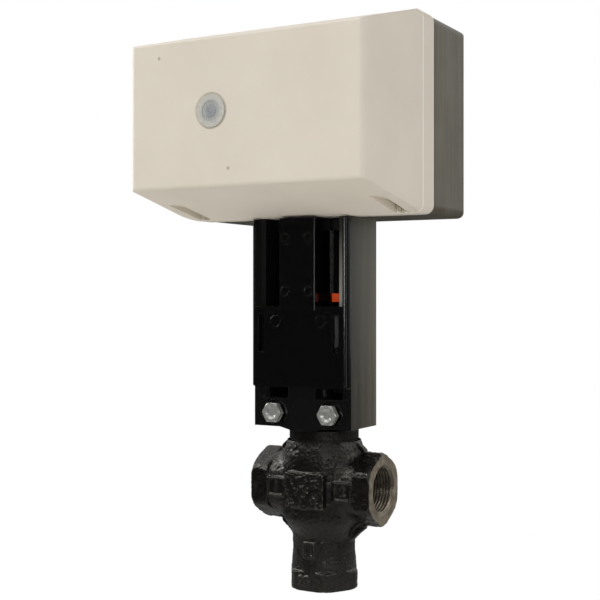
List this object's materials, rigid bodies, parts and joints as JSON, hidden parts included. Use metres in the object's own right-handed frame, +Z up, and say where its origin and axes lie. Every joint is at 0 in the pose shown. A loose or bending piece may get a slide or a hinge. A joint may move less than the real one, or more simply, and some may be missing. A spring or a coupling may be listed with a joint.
{
  "type": "three-way control valve",
  "caption": "Motorised mixing valve: cast body with pipe-threaded ports, clamped column with a travel pointer, and a wide electric actuator head.",
  "frame": {"origin": "centre of the lower port's face", "axes": "+Z up the stem, towards the actuator; +X along the side ports' axis, to the right seen from the front; -Y is the front, where the actuator's cover looks"},
  "size_m": [0.1988, 0.1514, 0.3903],
  "materials": {
    "cast_iron_black": "rough black paint on a sand casting",
    "die_cast_dark": "satin, upright sheen",
    "jaw_cast": "satin",
    "die_cast_olive": "satin with upright streaks",
    "cover_cream": "fine moulded grain",
    "plug_clear": "milky, translucent",
    "moulding_black": "glossy",
    "pointer_orange": "glossy",
    "zinc": "zinc plated",
    "steel": "turned",
    "gear_plate_steel": "yellow passivated sheet",
    "brass": "turned",
    "gear_resin": "moulded",
    "guide_resin": "moulded",
    "packing_white": "slippery resin",
    "gasket_fibre": "pressed fibre",
    "seal_black": "soft foam cord",
    "motor_can": "drawn can",
    "switch_black": "moulded",
    "cam_blue": "moulded",
    "terminal_grey": "moulded",
    "board_green": "lacquered board",
    "capacitor_blue": "sleeved can",
    "gland_grey": "moulded"
  },
  "bodies": {
    "frame": {"valve_body": "cast_iron_black", "lower_seat_ring": "brass", "upper_seat_ring": "brass", "bonnet": "cast_iron_black", "bonnet_gasket": "gasket_fibre", "packing_rings": "packing_white", "gland_nut": "brass", "yoke": "die_cast_dark", "clamp_jaw": "jaw_cast", "clamp_bolts": "zinc", "clamp_washers": "zinc", "lock_washers": "zinc", "column_cover": "moulding_black", "housing": "die_cast_olive", "yoke_screws": "zinc", "spindle_bush": "brass", "rack_guide": "guide_resin", "rear_gear_plate": "gear_plate_steel", "front_gear_plate": "gear_plate_steel", "plate_pillars": "steel", "plate_screws": "zinc", "motor": "motor_can", "motor_screws": "zinc", "limit_switches": "switch_black", "switch_screws": "zinc", "terminal_block": "terminal_grey", "control_board": "board_green", "board_screws": "zinc", "capacitor": "capacitor_blue", "cable_gland": "gland_grey", "gland_seal": "seal_black", "gland_cap": "gland_grey", "gland_lock_nut": "gland_grey", "cover_seal": "seal_black"},
    "stem_assembly": {"valve_plug": "steel", "plug_nut": "zinc", "valve_stem": "steel", "stem_lock_nut": "zinc", "stem_coupling": "steel", "coupling_pin": "steel", "position_pointer": "pointer_orange", "drive_spindle": "steel"},
    "output_gear": {"output_shaft": "steel", "output_wheel": "gear_resin", "switch_cams": "cam_blue"},
    "hand_gear": {"hand_drive_shaft": "steel", "hand_wheel": "gear_resin"},
    "intermediate_gear": {"intermediate_shaft": "steel", "intermediate_wheel": "gear_resin"},
    "motor_gear": {"motor_pinion": "brass"},
    "cover_body": {"cover": "cover_cream", "cover_screws": "zinc"},
    "plug_body": {"plug_cap": "plug_clear"}
  },
  "joints": [
    {"name": "stem_slide", "type": "slide", "parent": "frame", "child": "stem_assembly", "axis": [0, 0, 1], "range_m": [0, 0.0165]},
    {"name": "output_turn", "type": "hinge", "parent": "frame", "child": "output_gear", "pos_m": [-0.0135, 0, 0.29975], "axis": [0, 1, 0], "range_deg": [-105.05, 0]},
    {"name": "hand_drive_turn", "type": "hinge", "parent": "frame", "child": "hand_gear", "pos_m": [-0.0225, 0, 0.322], "axis": [0, 1, 0], "range_deg": [0, 315.12]},
    {"name": "intermediate_turn", "type": "hinge", "parent": "frame", "child": "intermediate_gear", "pos_m": [-0.0465, 0, 0.322], "axis": [0, 1, 0], "range_deg": [-1260.49, 0]},
    {"name": "motor_turn", "type": "hinge", "parent": "frame", "child": "motor_gear", "pos_m": [-0.0465, 0, 0.3436], "axis": [0, 1, 0], "range_deg": [0, 6302.41]},
    {"name": "cover_slide", "type": "slide", "parent": "frame", "child": "cover_body", "axis": [0, -1, 0], "range_m": [0, 0.12]},
    {"name": "plug_slide", "type": "slide", "parent": "cover_body", "child": "plug_body", "axis": [0, -1, 0], "range_m": [0, 0.012]}
  ],
  "couplings": [
    {"joint": "stem_slide", "follows": "hand_drive_turn", "m_per_rad": 0.003},
    {"joint": "output_turn", "follows": "hand_drive_turn", "ratio": -0.33333},
    {"joint": "intermediate_turn", "follows": "hand_drive_turn", "ratio": -4},
    {"joint": "motor_turn", "follows": "hand_drive_turn", "ratio": 20}
  ]
}
